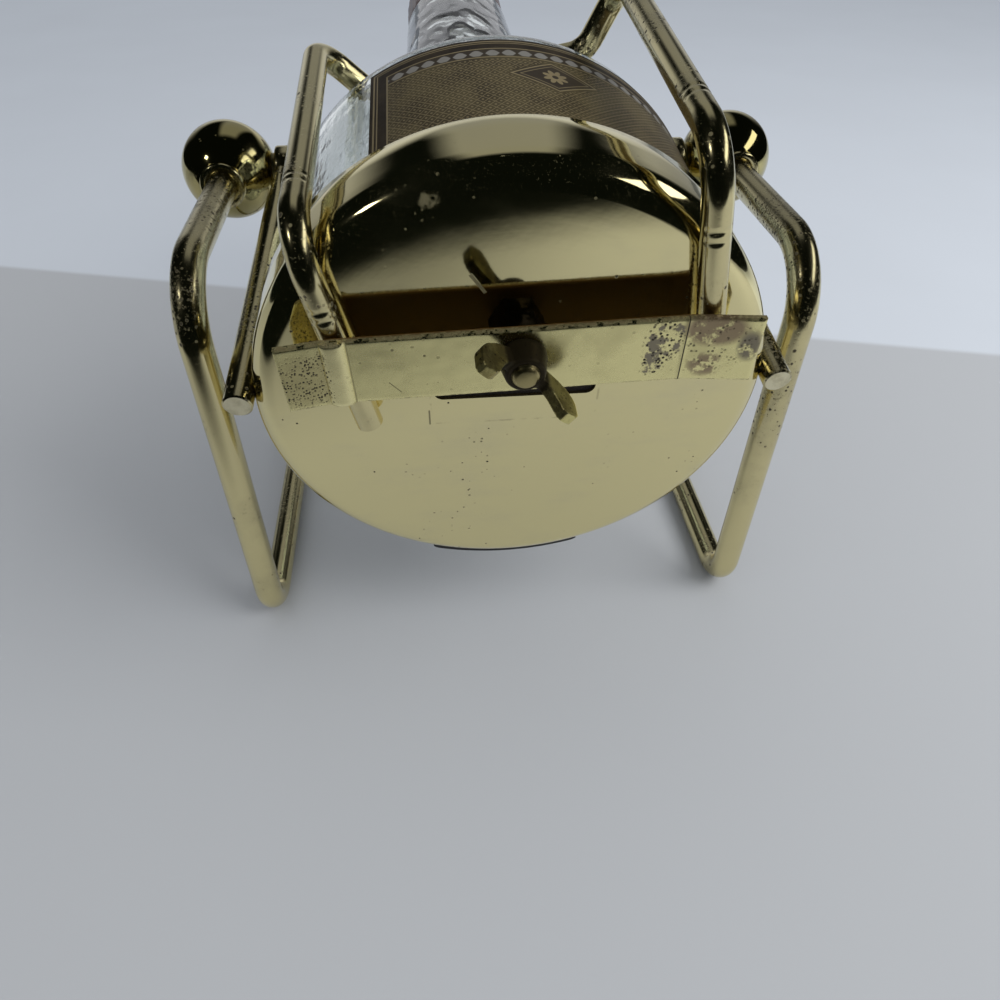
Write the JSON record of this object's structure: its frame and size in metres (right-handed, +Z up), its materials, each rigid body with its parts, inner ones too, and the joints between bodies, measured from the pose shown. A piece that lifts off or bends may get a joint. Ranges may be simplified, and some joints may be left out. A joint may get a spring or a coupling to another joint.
{
  "type": "tilting bottle pourer",
  "caption": "Bent-rod stand that carries a bottle in a tilting cup between two ball pivots, with a clamped wire bail that holds the bottle in while it pours.",
  "frame": {"origin": "on the table, midway between the two ball pivots and straight below the tilt axis", "axes": "+X to the right seen from behind the cup, +Y towards the bottle's neck, +Z up"},
  "size_m": [0.184, 0.2906, 0.1766],
  "materials": {
    "brass_rod": "polished plating with dark specks",
    "brass_ball": "polished",
    "brass_sheet": "mirror polished, pitted",
    "dull_brass": "dull and tarnished",
    "plain_steel": "dull",
    "felt": "felt",
    "black_rubber": "matte",
    "clear_glass": "clear",
    "label_paper": "varnished paper",
    "cap_metal": "satin lacquer",
    "seal_board": "waxed board"
  },
  "bodies": {
    "stand": {"stand_frame": "brass_rod", "ball_left": "brass_ball", "ball_right": "brass_ball", "ball_collar_left": "brass_rod", "ball_collar_right": "brass_rod", "pivot_pin_left": "plain_steel", "pivot_pin_right": "plain_steel", "pivot_washer_left": "plain_steel", "pivot_washer_right": "plain_steel"},
    "cradle": {"cup": "brass_sheet", "felt_disc": "felt", "bumper_pad": "black_rubber", "side_arm_left": "brass_rod", "side_arm_right": "brass_rod", "clamp_bolt": "plain_steel", "lock_nut": "plain_steel", "bottle": "clear_glass", "bottle_label": "label_paper"},
    "bail": {"bail": "brass_rod"},
    "clamp": {"clamp_strap": "brass_sheet"},
    "wing_nut": {"wing_nut": "dull_brass"},
    "cap": {"bottle_cap": "cap_metal", "cap_seal": "seal_board"}
  },
  "joints": [
    {"name": "cradle_tilt", "type": "hinge", "parent": "stand", "child": "cradle", "pos_m": [0, 0, 0.12322], "axis": [1, 0, 0], "range_deg": [-35, 80]},
    {"name": "bail_lift", "type": "slide", "parent": "cradle", "child": "bail", "axis": [-0.1908, -0.1434, 0.9711], "range_m": [0, 0.05]},
    {"name": "strap_slide", "type": "slide", "parent": "cradle", "child": "clamp", "axis": [0, -0.9893, -0.1461], "range_m": [0, 0.0038]},
    {"name": "wing_nut_turn", "type": "hinge", "parent": "clamp", "child": "wing_nut", "pos_m": [0, -0.10672, 0.11828], "axis": [0, -0.9893, -0.1461], "range_deg": [0, 1080]},
    {"name": "cap_pull", "type": "slide", "parent": "cradle", "child": "cap", "axis": [0, 0.9893, 0.1461], "range_m": [0, 0.04]}
  ],
  "couplings": [
    {"joint": "wing_nut_turn", "follows": "strap_slide", "rad_per_m": 4947.4}
  ]
}
